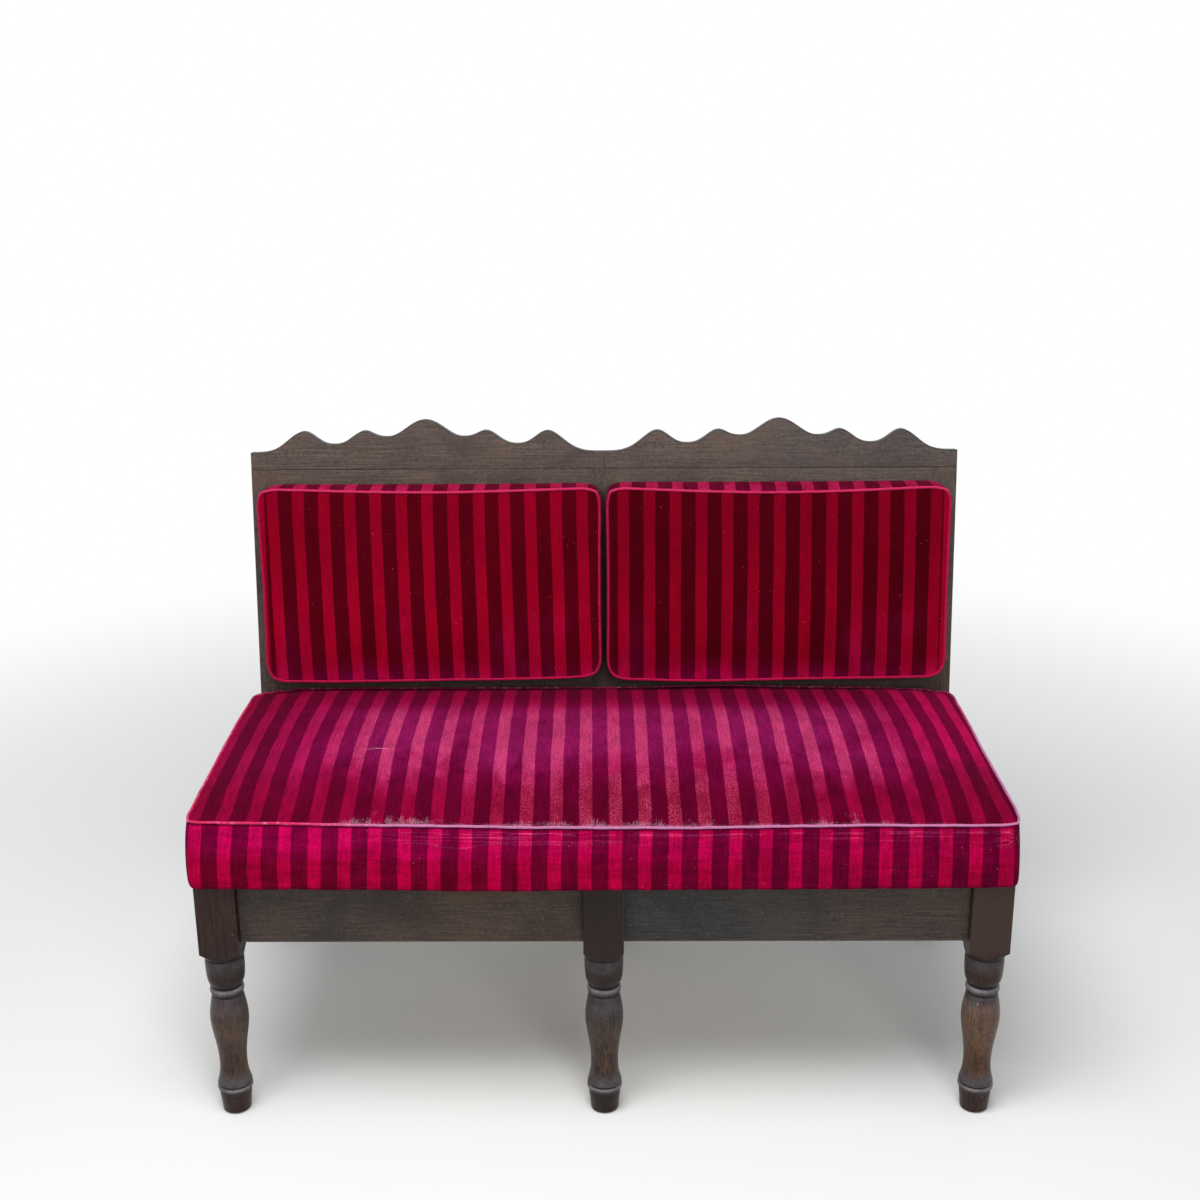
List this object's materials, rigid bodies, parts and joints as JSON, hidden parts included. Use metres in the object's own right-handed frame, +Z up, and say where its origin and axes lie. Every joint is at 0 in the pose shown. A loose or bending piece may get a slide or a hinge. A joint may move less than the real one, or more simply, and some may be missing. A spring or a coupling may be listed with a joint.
{
  "type": "upholstered bench",
  "caption": "Upholstered bench with a raked back, a scalloped crest board, boxed striped velvet seat and back pads, turned front legs and kicked rear posts.",
  "frame": {"origin": "on the floor, under the middle of the bench's bounding box", "axes": "+X to the right seen from the front, along the seat; +Y from the front to the back; +Z up"},
  "size_m": [1.1442, 0.6103, 0.9109],
  "materials": {
    "dark_stained_wood": "dark brown stain with a satin sheen and fine grain",
    "dowel_wood": "bare beech",
    "block_wood": "bare sawn softwood",
    "plywood": "bare plywood",
    "foam": "cream upholstery foam",
    "crimson_striped_velvet": "velvet with broad bright and dark crimson stripes, worn paler in places",
    "pink_piping": "covered cord, faded mauve pink",
    "screw_steel": "plain steel"
  },
  "bodies": {
    "root": {"back_bottom_rail_left": "dark_stained_wood", "back_bottom_rail_right": "dark_stained_wood", "back_pad_left_board": "plywood", "back_pad_left_cover": "crimson_striped_velvet", "back_pad_left_foam": "foam", "back_pad_left_piping": "pink_piping", "back_pad_right_board": "plywood", "back_pad_right_cover": "crimson_striped_velvet", "back_pad_right_foam": "foam", "back_pad_right_piping": "pink_piping", "back_top_rail_left": "dark_stained_wood", "back_top_rail_right": "dark_stained_wood", "centre_cross_rail": "dark_stained_wood", "crest_board": "dark_stained_wood", "crest_dowel_centre": "dowel_wood", "crest_dowel_left": "dowel_wood", "crest_dowel_right": "dowel_wood", "front_apron_left": "dark_stained_wood", "front_apron_right": "dark_stained_wood", "front_corner_block_left": "block_wood", "front_corner_block_right": "block_wood", "front_corner_screw_left": "screw_steel", "front_corner_screw_right": "screw_steel", "front_leg_centre": "dark_stained_wood", "front_leg_left": "dark_stained_wood", "front_leg_right": "dark_stained_wood", "front_seat_screw_left": "screw_steel", "front_seat_screw_right": "screw_steel", "pad_screw_left_bottom_inner": "screw_steel", "pad_screw_left_bottom_outer": "screw_steel", "pad_screw_left_top_inner": "screw_steel", "pad_screw_left_top_outer": "screw_steel", "pad_screw_right_bottom_inner": "screw_steel", "pad_screw_right_bottom_outer": "screw_steel", "pad_screw_right_top_inner": "screw_steel", "pad_screw_right_top_outer": "screw_steel", "rear_apron_left": "dark_stained_wood", "rear_apron_right": "dark_stained_wood", "rear_corner_block_left": "block_wood", "rear_corner_block_right": "block_wood", "rear_corner_screw_left": "screw_steel", "rear_corner_screw_right": "screw_steel", "rear_post_centre": "dark_stained_wood", "rear_post_left": "dark_stained_wood", "rear_post_right": "dark_stained_wood", "rear_seat_screw_left": "screw_steel", "rear_seat_screw_right": "screw_steel", "seat_board": "plywood", "seat_cover": "crimson_striped_velvet", "seat_foam": "foam", "seat_piping": "pink_piping", "side_apron_left": "dark_stained_wood", "side_apron_right": "dark_stained_wood"}
  },
  "joints": []
}
